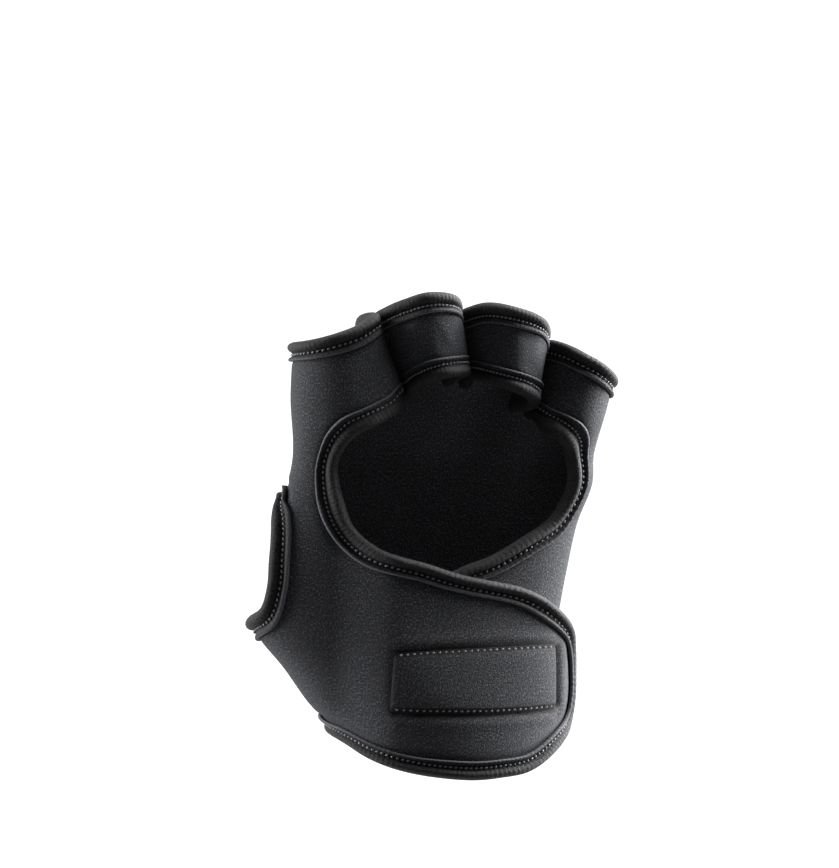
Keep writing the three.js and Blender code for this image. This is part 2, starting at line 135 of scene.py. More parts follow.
# z, thumbX, littleX, thumbY, littleY, back, palmThumb, palmLittle, square
gloveAt = tableOf([
    [-4, -30.5, 31.5, 0, 0, 21, 21, 21, 2.1],
    [14, -34.2, 32.8, 0.5, 0, 20.5, 22, 22, 2.1],
    [24, -41.8, 34.7, 1.5, 0, 19.5, 24, 23, 2.15],
    [33, -48, 35, 2.5, 0, 18.5, 26, 23.5, 2.2],
    [43, -56, 35.2, 4, 0.5, 17.8, 27.5, 23, 2.25],
    [52, -59.8, 36.9, 5, 1, 17.2, 27.5, 22, 2.3],
    [62, -59, 38.9, 4.5, 1, 16.6, 26, 21, 2.35],
    [76, -53.6, 42.2, 3, 1, 16, 21.5, 19, 2.4],
    [88, -47.6, 46.7, 1.5, 0.5, 15.5, 17, 17, 2.6],
    [98, -45.6, 47.2, 0.5, 0.5, 15, 15, 15, 2.9],
    [114, -46.2, 51.7, 0.5, 1, 14.5, 13, 13, 3.6],
    [124, -45.8, 53.6, 0.5, 1, 14, 12.5, 12, 3.8],
    [146, -44.8, 53.2, 0.5, 1, 13.5, 12.5, 11.5, 3.8],
])

# z, right flanks of the index, middle and ring bands, then the crests of all four
bandAt = tableOf([
    [98, -10, 7.6, 25, 15.2, 16.8, 16, 14.2],
    [108, -11.4, 7.4, 26.8, 15, 16.8, 16, 13.8],
    [119, -14.2, 7.1, 29.8, 14.6, 16.6, 15.6, 13.2],
    [131, -18.6, 6.2, 31.7, 14, 16, 15, 12.4],
    [140, -21.4, 4.7, 32, 13.5, 15.6, 14.6, 12],
    [150, -22.8, 3.6, 32, 13.2, 15.2, 14.2, 12],
])


def quarter(fromX, centreX, centreY, depth, square, steps=80):
    turn = np.linspace(0, math.pi / 2, steps + 1)
    across = np.clip(np.cos(turn), 0, 1) ** (2 / square)
    down = np.clip(np.sin(turn), 0, 1) ** (2 / square)
    return np.stack([centreX + (fromX - centreX) * across, centreY + depth * down], axis=1)


def flank(start, end, steps=24):
    f = np.linspace(0, 1, steps + 1)
    ease = f * f * (3 - 2 * f)
    return np.stack([
        start[0] + (end[0] - start[0]) * ease,
        start[1] + (end[1] - start[1]) * f,
    ], axis=1)


def stepLengths(points):
    return np.hypot(*np.diff(points, axis=0).T)


def joinedCurve(*parts):
    points = np.concatenate([np.atleast_2d(part) for part in parts])
    return points[np.concatenate([[True], stepLengths(points) > 1e-6])]


# Length run at each point of a path.
def runAlong(points):
    return np.concatenate([[0], np.cumsum(stepLengths(points))])


def pointsAt(lengths, run, points):
    return np.stack([np.interp(lengths, run, points[:, k]) for k in (0, 1)], axis=1)


# Points of a curve at lengths along it; past its end it runs straight on.
def alongCurve(points, share=None, lengths=None):
    run = runAlong(points)
    at = share * run[-1] if lengths is None else lengths
    found = pointsAt(np.clip(at, 0, run[-1]), run, points)
    start = (points[1] - points[0]) / run[1]
    end = (points[-1] - points[-2]) / (run[-1] - run[-2])
    return found + np.minimum(at, 0)[:, None] * start + np.maximum(at - run[-1], 0)[:, None] * end


def legEndAt(z):
    return float(gloveAt(z)[6]) - cut["legGap"]


def sideBand(sideX, sideY, flankX, flankY, square, top, web, legEnd):
    crestX = (sideX + flankX) / 2
    return joinedCurve(
        quarter(sideX, crestX, sideY, -top - sideY, bandShape["outerSquare"]),
        quarter(flankX, crestX, flankY, -top - flankY, square)[::-1],
        flank((flankX, flankY), (web, bandShape["webY"])),
        [(web, legEnd)],
    )


def archBand(left, right, top, webRight, legEnd):
    crestX = (left + right) / 2
    flankY = bandShape["flankY"]
    return joinedCurve(
        [(left, legEnd), (left, 0)],
        quarter(left, crestX, 0, -top, bandShape["leftSquare"]),
        quarter(right, crestX, flankY, -top - flankY, bandShape["innerSquare"])[::-1],
        flank((right, flankY), (webRight, bandShape["webY"])),
        [(webRight, legEnd)],
    )


def levelCurves(z):
    thumbX, littleX, thumbY, littleY, back, palmThumb, palmLittle, square = gloveAt(z)
    index, _, ring, indexTop, _, _, littleTop = bandAt(z)
    middle = (thumbX + littleX) / 2
    legEnd = legEndAt(z)
    littleLeft = ring - cut["flankReach"] + cut["webHalf"]
    backSquare = square * bandShape["backSquare"]
    fromThumb = quarter(thumbX, middle, thumbY, -back - thumbY, backSquare)
    fromLittle = quarter(littleX, middle, littleY, -back - littleY, backSquare)
    palmFromThumb = quarter(thumbX, middle, thumbY, palmThumb - thumbY, square)
    palmFromLittle = quarter(littleX, middle, littleY, palmThumb - littleY, square)
    share = smooth(palmFromLittle[:, 0], middle, littleX)
    palmFromLittle[:, 1] += (palmLittle - palmThumb) * share * palmFromLittle[:, 1] / palmThumb
    return {
        "fromThumb": joinedCurve(fromThumb, fromLittle[::-1]),
        "fromLittle": joinedCurve(fromLittle, fromThumb[::-1]),
        "palm": joinedCurve(palmFromThumb, palmFromLittle[::-1]),
        "indexBand": sideBand(thumbX, thumbY, index, bandShape["flankY"], bandShape["innerSquare"],
                              indexTop, index - cut["flankReach"] - cut["webHalf"], legEnd),
        "littleBand": sideBand(littleX, littleY, littleLeft, 0, bandShape["leftSquare"],
                               littleTop, littleLeft, legEnd),
    }


def gloveRow(z, across):
    curves = levelCurves(z)
    bandShare = float(smooth(z, *cut["bandsFrom"]))
    span = cut["backSpan"]

    def onBack(plain, band, run):
        flat = alongCurve(curves[plain], share=run / span)
        return flat + bandShare * (alongCurve(curves[band], lengths=run) - flat)

    row = alongCurve(curves["palm"], share=-across / cut["palmSpan"])
    thumbSide, littleSide = across >= 0, across <= -cut["palmSpan"]
    row[thumbSide] = onBack("fromThumb", "indexBand", across[thumbSide])
    row[littleSide] = onBack("fromLittle", "littleBand", -across[littleSide] - cut["palmSpan"])
    return row


def archRow(left, right, crest):
    def row(z, across):
        band = bandAt(z)
        curve = archBand(band[left] - cut["flankReach"] + cut["webHalf"], band[right], band[crest],
                         band[right] - cut["flankReach"] - cut["webHalf"], legEndAt(z))
        return alongCurve(curve, share=across / cut["archSpan"])
    return row


def drawnAcross(points):
    turn = cut["drawingTurn"]
    return points[..., 0] * math.cos(turn) - points[..., 1] * math.sin(turn)


def softened(grid, rounds):
    for _ in range(rounds):
        for axis in (0, 1):
            count = grid.shape[axis]
            ahead = np.concatenate([grid.take([0], axis), grid.take(range(count - 1), axis)], axis)
            behind = np.concatenate([grid.take(range(1, count), axis), grid.take([-1], axis)], axis)
            grid = 0.5 * grid + 0.25 * (ahead + behind)
    return grid


# A skin keeps a face as a grid. It lays places across, heights and depths on the glove.
def makeSkin(row, acrossRange, zRange, liftOf=None, easing=16):
    step = cut["gridStep"]
    across = np.arange(acrossRange[0], acrossRange[1] + step / 2, step)
    heights = np.arange(zRange[0], zRange[1] + step / 2, step)
    face = np.empty((len(heights), len(across), 3))
    for r, z in enumerate(heights):
        face[r, :, :2] = row(z, across)
        face[r, :, 2] = z
    for _ in range(easing):
        face[:, 1:-1] = 0.5 * face[:, 1:-1] + 0.25 * (face[:, :-2] + face[:, 2:])
    outward = np.cross(np.gradient(face, axis=1), np.gradient(face, axis=0))
    outward /= np.linalg.norm(outward, axis=2, keepdims=True)
    outward = softened(outward, 2)
    outward /= np.linalg.norm(outward, axis=2, keepdims=True)
    lift = liftOf(face, across, heights) if liftOf else np.zeros(face.shape[:2])

    def look(grid, a, z):
        c = np.clip((a - across[0]) / step, 0, len(across) - 1.001)
        r = np.clip((z - heights[0]) / step, 0, len(heights) - 1.001)
        c0, r0 = c.astype(int), r.astype(int)
        fc, fr = c - c0, r - r0
        if grid.ndim == 3:
            fc, fr = fc[:, None], fr[:, None]
        return (
            (grid[r0, c0] * (1 - fc) + grid[r0, c0 + 1] * fc) * (1 - fr)
            + (grid[r0 + 1, c0] * (1 - fc) + grid[r0 + 1, c0 + 1] * fc) * fr
        )

    def lay(a, z, depth):
        a, z = np.asarray(a, float), np.asarray(z, float)
        a, z = np.broadcast_arrays(a, z)
        return look(face, a, z) + look(outward, a, z) * (depth + look(lift, a, z))[:, None]

    return lay


# Soft rises and hollows of the stretched neoprene: [across, z, reach across, reach in z, height]
folds = [
    [12, 97, 9, 16, -0.35], [22, 84, 6, 10, 0.3], [26, 52, 13, 9, -0.5], [42, 36, 12, 20, 0.35],
    [14, 34, 7, 14, 0.35], [28, 22, 14, 5, -0.35], [60, 53, 14, 4, 0.3], [84, 30, 12, 12, 0.25],
    [-22, 100, 10, 9, -0.5], [-52, 96, 18, 7, -0.6], [-52, 112, 22, 6, 0.45], [-80, 88, 9, 16, -0.45],
    [-46, 62, 12, 14, 0.5], [-70, 40, 16, 9, -0.45], [-34, 30, 14, 8, -0.4], [-95, 60, 8, 18, 0.35],
    [-126, 48, 8, 14, 0.3], [-118, 80, 7, 10, -0.3],
]


def foldRise(across, z):
    return sum(
        rise * np.exp(-(((across - a) / ra) ** 2) - ((z - b) / rz) ** 2)
        for a, b, ra, rz, rise in folds
    )


def gloveLift(face, across, heights):
    grid = np.meshgrid(across, heights)
    drawn = drawnAcross(face)
    settled = 1 - cut["strapSettle"] * smooth(drawn, *cut["strapSettles"])
    below = 1 - smooth(grid[1], *cut["strapTop"])
    strap = cut["strapLift"] * smooth(drawn, *cut["strapRise"]) * settled * below
    return np.where(grid[0] > 0, strap, 0) + foldRise(*grid)


gloveSkin = makeSkin(gloveRow, (-188, 110), (-6, 152), gloveLift)
underSkin = makeSkin(gloveRow, (40, 110), (0, 60), lambda face, across, heights: foldRise(
    *np.meshgrid(across, heights)))
middleSkin = makeSkin(archRow(0, 1, 4), (-2, 80), (100, 152), easing=60)
ringSkin = makeSkin(archRow(1, 2, 5), (-2, 80), (100, 152), easing=60)
print("pattern laid in the round")


# First place across the pattern, going in from a side, that reaches a drawn distance.
def placeOf(drawn, z, fromThumb):
    sign, origin = (1, 0) if fromThumb else (-1, -cut["palmSpan"])
    limit = cut["sideReach"] if z > cut["bandsFrom"][0] else cut["backSpan"]
    s = np.arange(0, limit, 0.05)
    over = sign * (drawnAcross(gloveSkin(origin + sign * s, np.full_like(s, z), 0)) - drawn)
    reached = np.nonzero(over >= 0)[0]
    return origin + sign * (s[reached[0]] if len(reached) else limit)


def drawnRows(rows, fromThumb):
    return [(placeOf(u, z, fromThumb), z) for u, z in rows]


def webEnd(name, z, side):
    points = levelCurves(z)[name]
    total = stepLengths(points).sum()
    run = total - cut["webShort"]
    return run if side > 0 else -cut["palmSpan"] - run


def between(p, q, start, end, u):
    return ((end - u) * p + (u - start) * q) / (end - start)


# Centripetal Catmull-Rom curve through the points, cut into even steps.
def evenPath(points, step, closed=False):
    points = np.array(points, float)
    if closed:
        ring = np.concatenate([points[-1:], points, points[:2]])
    else:
        ring = np.concatenate([[2 * points[0] - points[1]], points, [2 * points[-1] - points[-2]]])
    dense = []
    for p0, p1, p2, p3 in zip(ring, ring[1:], ring[2:], ring[3:]):
        t = np.cumsum([0] + [math.sqrt(max(np.linalg.norm(b - a), 1e-6))
                             for a, b in ((p0, p1), (p1, p2), (p2, p3))])
        u = np.linspace(t[1], t[2], 40, endpoint=False)[:, None]
        a1, a2, a3 = (between(p0, p1, t[0], t[1], u), between(p1, p2, t[1], t[2], u),
                      between(p2, p3, t[2], t[3], u))
        b1, b2 = between(a1, a2, t[0], t[2], u), between(a2, a3, t[1], t[3], u)
        dense.append(between(b1, b2, t[1], t[2], u))
    dense = np.concatenate(dense + [points[:1] if closed else points[-1:]])
    run = runAlong(dense)
    count = max(8, round(run[-1] / step))
    at = np.linspace(0, run[-1], count + 1)[:count if closed else count + 1]
    return pointsAt(at, run, dense)


def leftOf(points, closed=False):
    if closed:
        along = np.roll(points, -1, axis=0) - np.roll(points, 1, axis=0)
    else:
        along = np.gradient(points, axis=0)
    along /= np.linalg.norm(along, axis=1, keepdims=True)
    return np.stack([-along[:, 1], along[:, 0]], axis=1)


span = cut["palmSpan"]
pathStep = 0.65  # mm

# From the index web round the back opening, the strap and the wrist to the little web.
edgePoints = [(webEnd("indexBand", 114, 1), 114), (50, 113.8), (43, 112.4)]
edgePoints += drawnRows([
    (-13.2, 109.8), (-20.4, 105.6), (-25.8, 102.8), (-30, 98), (-31.5, 93.6), (-31, 88.5),
    (-29.5, 83), (-26.7, 75.9), (-22.8, 71.7), (-17.4, 68.2), (-11.1, 66.1), (-4.8, 64.5),
    (5.4, 61.2), (15.6, 59.1), (26.1, 57), (33, 53.2),
], True)
edgePoints += [(98.6, 44.5), (100.6, 38.5), (101.2, 31.5), (100.7, 24.5), (98.4, 16.6)]
edgePoints += drawnRows([
    (33.3, 7.4), (27.2, 2.4), (18, 0.6), (9.3, 0), (-3.9, 1.3), (-12.9, 3.2), (-21.6, 6.4),
    (-28.5, 10.4),
], True)
edgePoints += [
    (0, 12.8), (-13, 14.2), (-28, 14.6), (-46, 12.8), (-64, 10.4), (-82, 8.6), (-98, 7.6),
    (-span, 7), (-span - 18, 6.2), (-span - 38, 6.2), (-span - 56, 8.4),
]
edgePoints += drawnRows([(-9, 16), (-9.5, 26), (-9, 38), (-7, 48)], False)
edgePoints += drawnRows([
    (-1.5, 58.6), (5.4, 63), (15.6, 66.9), (26.1, 72.9), (33.6, 77.7), (37.2, 82.8),
    (39, 87.3), (39.2, 93), (38.3, 97.2), (36, 100.8), (32.4, 103.8),
], False)
edgePoints += [(-span - 32, 105.6), (-span - 37, 107.6), (-span - 41, 108.5),
               (webEnd("littleBand", 108.8, -1), 108.8)]
edgePath = evenPath(edgePoints, pathStep)

# The strap's free end is cut to one round sweep: its path is averaged over the steps around.
sweep = {"reach": 18, "spread": 7.0, "across": (66, 80), "below": 70}
bell = np.exp(-(np.arange(-sweep["reach"], sweep["reach"] + 1) / sweep["spread"]) ** 2)
swept = np.stack([np.convolve(np.pad(column, sweep["reach"], "edge"), bell / bell.sum(), "valid")
                  for column in edgePath.T], axis=1)
sweptShare = smooth(edgePath[:, 0], *sweep["across"]) * (edgePath[:, 1] < sweep["below"])
edgePath = edgePath * (1 - sweptShare[:, None]) + swept * sweptShare[:, None]

# From the index web round the palm to the little web.
rimPath = evenPath([
    (webEnd("indexBand", 138, 1), 138), (44, 139.6), (38, 140.2), (32, 139.2), (24, 135.4),
    (12, 132), (0, 131.2), (-14, 131.6), (-30, 133), (-48, 135.4), (-64, 134), (-82, 129.5),
    (-98, 122.5), (-span, 120.4), (-span - 9, 122), (-span - 18, 126.4), (-span - 27, 130.4),
    (-span - 35, 132), (webEnd("littleBand", 131.5, -1), 131.5),
], pathStep)

thumbPath = evenPath(drawnRows([
    (-50.2, 80.5), (-51.2, 74), (-51.9, 66), (-52.6, 57.5), (-54.4, 51.5),
], True) + [
    (0, 48.4), (-9, 47.6), (-19, 50), (-27, 56.5), (-29.5, 66), (-26, 75), (-18, 81),
    (-9, 83.4), (-1, 83.2),
], pathStep, closed=True)

middleEdges = tableOf([
    [0, 115.5, 139], [14, 114.6, 141], [26, 117.6, 143.6], [39, 120.4, 146], [52, 121.2, 145.4],
    [62, 120.6, 142.5], [78, 118, 139],
])
ringEdges = tableOf([
    [0, 117, 139], [14, 119.6, 141.5], [26, 118.4, 143], [39, 116, 141.6], [52, 112.6, 138.4],
    [62, 110.4, 134], [78, 110, 131.5],
])


def srgb(colour):
    parts = [int(colour[i:i + 2], 16) / 255 for i in (1, 3, 5)]
    return tuple(c / 12.92 if c <= 0.04045 else ((c + 0.055) / 1.055) ** 2.4 for c in parts) + (1,)


# Gives a node's inputs their values, or links sockets into them.
def fillIn(tree, node, inputs):
    for name, value in inputs.items():
        if isinstance(value, bpy.types.NodeSocket):
            tree.links.new(value, node.inputs[name])
        else:
            node.inputs[name].default_value = value


# Adds a node: settings are its properties, inputs are values or the sockets linked in.
def addNode(tree, kind, settings=None, inputs=None):
    made = tree.nodes.new("ShaderNode" + kind)
    for name, value in (settings or {}).items():
        setattr(made, name, value)
    fillIn(tree, made, inputs or {})
    return made


# Maps a value from one range to another.
def ramp(tree, value, low, high, toLow=0, toHigh=1, kind="SMOOTHSTEP"):
    return addNode(tree, "MapRange", {"interpolation_type": kind}, {
        "Value": value, "From Min": low, "From Max": high, "To Min": toLow, "To Max": toHigh,
    }).outputs[0]


# Goes from one colour to another; each is a hex code or a socket.
def blend(tree, share, *colours):
    first, second = (srgb(c) if isinstance(c, str) else c for c in colours)
    return addNode(tree, "Mix", {"data_type": "RGBA"}, {0: share, 6: first, 7: second}).outputs[2]


def bumpOf(tree, height, strength, distance, invert=False):
    return addNode(tree, "Bump", {"invert": invert}, {
        "Strength": strength, "Distance": distance, "Height": height,
    }).outputs[0]


# Ribs or wales across the pattern, with a finer grain added to their relief.
def ribbed(tree, inMm, share, grain, scale, distortion, detail, detailScale):
    wave = addNode(tree, "TexWave", {"bands_direction": "X"}, {
        "Vector": inMm, "Scale": scale, "Distortion": distortion,
        "Detail": detail, "Detail Scale": detailScale,
    })
    return addNode(tree, "Math", {"operation": "MULTIPLY_ADD"}, {
        0: wave.outputs["Fac"], 1: share, 2: grain,
    }).outputs[0]


def patternInMm(tree):
    uv = addNode(tree, "UVMap", {"uv_map": "pattern"})
    return addNode(tree, "VectorMath", {"operation": "SCALE"}, {0: uv.outputs[0], "Scale": 100.0}).outputs[0]


def startMaterial(name):
    material = bpy.data.materials.new(name)
    material.use_nodes = True
    tree = material.node_tree
    tree.nodes.clear()
    output = addNode(tree, "OutputMaterial")
    surface = addNode(tree, "BsdfPrincipled")
    tree.links.new(surface.outputs[0], output.inputs["Surface"])
    return material, tree, surface


# Nylon jersey laminated on neoprene foam: matt charcoal with a fine heather of paler
# filaments, which gives the eye a dense, slightly dusty knit.
def jerseyNeoprene(name):
    material, tree, surface = startMaterial(name)
    inMm = patternInMm(tree)
    # wales run up the glove, so specks are longer in that direction
    stretched = addNode(tree, "VectorMath", {"operation": "MULTIPLY"}, {0: inMm, 1: (1.0, 0.72, 1.0)})
    # specks of 0.45 mm; the real filaments are 0.1 mm, too fine to show
    speckle = addNode(tree, "TexNoise", {}, {
        "Vector": stretched.outputs[0], "Scale": 2.3, "Detail": 3.0, "Roughness": 0.85,
    }).outputs["Fac"]
    # slow change of tone where the cloth has been stretched and rubbed, 14 mm across
    tone = addNode(tree, "TexNoise", {}, {"Vector": inMm, "Scale": 0.07, "Detail": 2.0}).outputs["Fac"]
    ground = blend(tree, ramp(tree, tone, 0.35, 0.65, 0, 0.6, "LINEAR"), "#101113", "#151618")
    shaded = blend(tree, ramp(tree, speckle, 0.50, 0.33), ground, "#060607")
    heather = blend(tree, ramp(tree, speckle, 0.50, 0.69), shaded, "#47484f")
    # painted shade: the crease attribute turns the jersey black in its creases and along its seams
    crease = addNode(tree, "Attribute", {"attribute_name": "crease"}).outputs["Fac"]
    # wales 1.8 mm apart; real ones, 0.45 mm apart, would not show
    relief = ribbed(tree, inMm, 0.04, speckle, 0.175, 1.2, 1.0, 2.5)
    fillIn(tree, surface, {
        "Base Color": blend(tree, crease, heather, "#020202"),  # black in the creases
        "Normal": bumpOf(tree, relief, 1.0, 0.0004),
        "Roughness": ramp(tree, speckle, 0, 1, 0.9, 0.7, "LINEAR"),
        "Specular IOR Level": 0.12, "IOR": 1.5,
        "Sheen Weight": 0.02, "Sheen Roughness": 0.4, "Sheen Tint": srgb("#c9ccd4"),
    })
    return material


# Folded nylon and elastane binding: blacker than the panel, with a soft satin gleam on its
# rounded bead and fine ribs across it.
def stretchBinding(name):
    material, tree, surface = startMaterial(name)
    inMm = patternInMm(tree)
    grain = addNode(tree, "TexNoise", {}, {
        "Vector": inMm, "Scale": 1.9, "Detail": 2.0, "Roughness": 0.8,
    }).outputs["Fac"]
    colour = blend(tree, ramp(tree, grain, 0.45, 0.75), "#050506", "#242529")
    # painted highlight: the loose edge's outer rim is made paler all along, as a lit ridge
    fromFold = addNode(tree, "SeparateXYZ", {}, {0: inMm}).outputs[1]
    rimHighlighted = blend(tree, ramp(tree, fromFold, 6.2, 6.9, 0, 0.8), colour, "#3a3b40")
    # painted shade: the sewn groove, 4.5 mm from the fold, is coloured black
    beside = addNode(tree, "Math", {"operation": "SUBTRACT"}, {0: fromFold, 1: 4.5})
    distance = addNode(tree, "Math", {"operation": "ABSOLUTE"}, {0: beside.outputs[0]})
    # cross ribs 1.6 mm apart; real ones, 0.4 mm apart, would not show
    relief = ribbed(tree, inMm, 0.25, grain, 0.2, 1.6, 2.0, 1.5)
    fillIn(tree, surface, {
        "Base Color": blend(tree, ramp(tree, distance.outputs[0], 1.2, 0.7, 0, 0.92), rimHighlighted, "#020202"),
        "Normal": bumpOf(tree, relief, 0.9, 0.0004),
        "Roughness": ramp(tree, grain, 0, 1, 0.6, 0.8, "LINEAR"),
        "Specular IOR Level": 0.12,
        "Sheen Weight": 0.005, "Sheen Roughness": 0.3,
    })
    return material


# Spun polyester sewing thread, dark grey: it catches the light as a row of small beads.
def sewingThread(name):
    material, tree, surface = startMaterial(name)
    place = addNode(tree, "TexCoord")
    # plies of the twisted thread, 0.5 mm apart
    plies = addNode(tree, "TexNoise", {}, {
        "Vector": place.outputs["Object"], "Scale": 2000.0, "Detail": 1.0,
    }).outputs["Fac"]
    fillIn(tree, surface, {
        "Base Color": blend(tree, plies, "#17181a", "#505258"),
        "Normal": bumpOf(tree, plies, 0.4, 0.0001),
        "Roughness": 0.5, "Sheen Weight": 0.2,
    })
    return material


# Moulded nylon hook tape: a dense field of tiny hooks that looks like a dull stubble.
def hookTape(name):
    material, tree, surface = startMaterial(name)
    # hooks stand 1.1 mm apart
    hooks = addNode(tree, "TexVoronoi", {}, {
        "Vector": patternInMm(tree), "Scale": 0.9, "Randomness": 0.35,
    }).outputs["Distance"]
    fillIn(tree, surface, {
        "Base Color": blend(tree, ramp(tree, hooks, 0, 0.6, kind="LINEAR"), "#4a4b50", "#0d0d0f"),
        "Normal": bumpOf(tree, hooks, 0.9, 0.0006, invert=True),
        "Roughness": 0.55,
    })
    return material


jersey = jerseyNeoprene("charcoalJerseyNeoprene")
patchJersey = jerseyNeoprene("patchJersey")
binding = stretchBinding("blackStretchBinding")
thread = sewingThread("greySewingThread")
hooks = hookTape("blackHookTape")
print("materials made")


def makeObject(name, points, faces, material, uvs=None):
    mesh = bpy.data.meshes.new(name)
    mesh.from_pydata((np.asarray(points) / 1000).tolist(), [], [tuple(f) for f in faces])
    mesh.polygons.foreach_set("use_smooth", [True] * len(mesh.polygons))
    if uvs is not None:
        layer = mesh.uv_layers.new(name="pattern")
        corners = np.empty(len(mesh.loops), np.int32)
        mesh.loops.foreach_get("vertex_index", corners)
        layer.data.foreach_set("uv", (np.asarray(uvs)[corners] / 100).ravel())
    mesh.materials.append(material)
    mesh.validate()
    made = bpy.data.objects.new(name, mesh)
    bpy.context.collection.objects.link(made)
    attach(made, "root")
    turnOut(made)
    return made


# Turns the faces over where a closed mesh came out inside out.
def turnOut(made):
    mesh = made.data
    mesh.calc_loop_triangles()
    points = np.empty(len(mesh.vertices) * 3)
    mesh.vertices.foreach_get("co", points)
    corners = np.empty(len(mesh.loop_triangles) * 3, np.int32)
    mesh.loop_triangles.foreach_get("vertices", corners)
    a, b, c = points.reshape(-1, 3)[corners].reshape(-1, 3, 3).transpose(1, 0, 2)
    if (a * np.cross(b, c)).sum() < 0:
        mesh.flip_normals()


def nearestOn(paths, points):
    every = np.concatenate(paths)
    best = np.full(len(points), np.inf)
    for start in range(0, len(points), 4000):
        part = points[start:start + 4000]
        far = np.hypot(part[:, None, 0] - every[None, :, 0], part[:, None, 1] - every[None, :, 1])
        best[start:start + 4000] = far.min(axis=1)
    return best


# The cloth is squeezed thinner inside a tape.
def squeezed(depth, distance):
    press = cut["press"] * (1 - smooth(distance, *cut["pressEnds"]))
    return depth - press * (1 + 2 * depth / cut["neoprene"])


# Strap patch: a bare piece of the same jersey, sewn down along its long edges.
patch = {
    "low": (20.9, 21.2), "high": (38.0, 39.8),  # at its left and right ends
    "bow": 1.9,  # how far its lower edge hangs in the middle
    "leftDrawn": -15.6, "leftLean": 0.08, "rightDrawn": 34.0,
    "seat": 0.2, "rise": 0.42,
    "edgeRadius": 1.1,
    "mesh": (200, 90),
    "patternApart": 300,  # so that its heather differs from the panel's
    "gap": 0.06,  # between the strap and its underside
    "thinnest": 0.16,
    "rowInset": 0.75,  # stitch rows from the long edges
    "rowWidth": 0.5, "rowDepth": 0.3,
    "rowPitch": 1.9,
    "rowEnds": (0.02, 0.985), "rowSteps": 140, "rowHeight": 0.16,
    "pillow": 0.14, "pillowFrom": (1, 5),
    # ridges and hollows: height, place and width, the last two measured out from the edge
    "sunk": (-0.45, 0, 1.1),  # its own long edges
    "longGroove": (-0.75, 0.15, 0.95), "longPuff": (0.3, 2.9, 1.6),  # of the strap round it
    "leftGroove": (-0.3, 0.1, 0.8),
    "rightGroove": (-1.25, 0.75, 0.95), "rightPuff": (0.55, 3.7, 1.6),
}
patchZ = np.linspace(14, 46, 65)
patchLeft = np.array([placeOf(patch["leftDrawn"] + patch["leftLean"] * (z - 21), z, True) for z in patchZ])
patchRight = np.array([placeOf(patch["rightDrawn"], z, True) for z in patchZ])


def patchLow(share):
    return patch["low"][0] + (patch["low"][1] - patch["low"][0]) * share - patch["bow"] * (
        1 - (2 * np.clip(share, 0, 1) - 1) ** 2)


def patchHigh(share):
    return patch["high"][0] + (patch["high"][1] - patch["high"][0]) * share


def ridge(distance, shape):
    height, at, width = shape
    return height * np.exp(-((distance - at) / width) ** 2)


# Rise of the strap's face round the patch, in mm
def patchBed(across, z):
    left, right = np.interp(z, patchZ, patchLeft), np.interp(z, patchZ, patchRight)
    share = (across - left) / (right - left)
    overRight, overLeft = across - right, left - across
    overZ = np.maximum(z - patchHigh(share), patchLow(share) - z)
    beside = smooth(overRight, 0.5, -1.5) * smooth(overLeft, 0.5, -1.5)
    level = 1 - smooth(overZ, -1.5, 0.8)
    alongEdges = (ridge(overZ, patch["longGroove"]) + ridge(overZ, patch["longPuff"])) * beside
    atEnds = (ridge(overLeft, patch["leftGroove"]) + ridge(overRight, patch["rightGroove"])) * level
    return alongEdges + atEnds + ridge(overRight, patch["rightPuff"]) * smooth(overZ, 5, -3)


# How far each vertex lies down in a crease, from 0 to 1, for the jersey to darken as painted shade.
def addPaintedCreaseShade(made, shares):
    crease = made.data.attributes.new("crease", "FLOAT", "POINT")
    crease.data.foreach_set("value", np.clip(shares, 0, 1).astype(np.float32))


panel = {
    "meshStep": 1.1,  # mm
    "keepClear": 0.62,  # of a step, round the cut edges
    "strapAcross": 20, "strapBelow": 60,  # the part that may hold the patch's bed
}


def insidePolygon(points, outline):
    inside = np.zeros(len(points), bool)
    ahead = np.roll(outline, -1, axis=0)
    for start in range(0, len(points), 4000):
        x, y = points[start:start + 4000, 0][:, None], points[start:start + 4000, 1][:, None]
        crosses = (outline[:, 1] > y) != (ahead[:, 1] > y)
        slope = (ahead[:, 0] - outline[:, 0]) / np.where(
            np.abs(ahead[:, 1] - outline[:, 1]) < 1e-12, 1e-12, ahead[:, 1] - outline[:, 1])
        hit = crosses & (x < outline[:, 0] + (y - outline[:, 1]) * slope)
        inside[start:start + 4000] = hit.sum(axis=1) % 2 == 1
    return inside


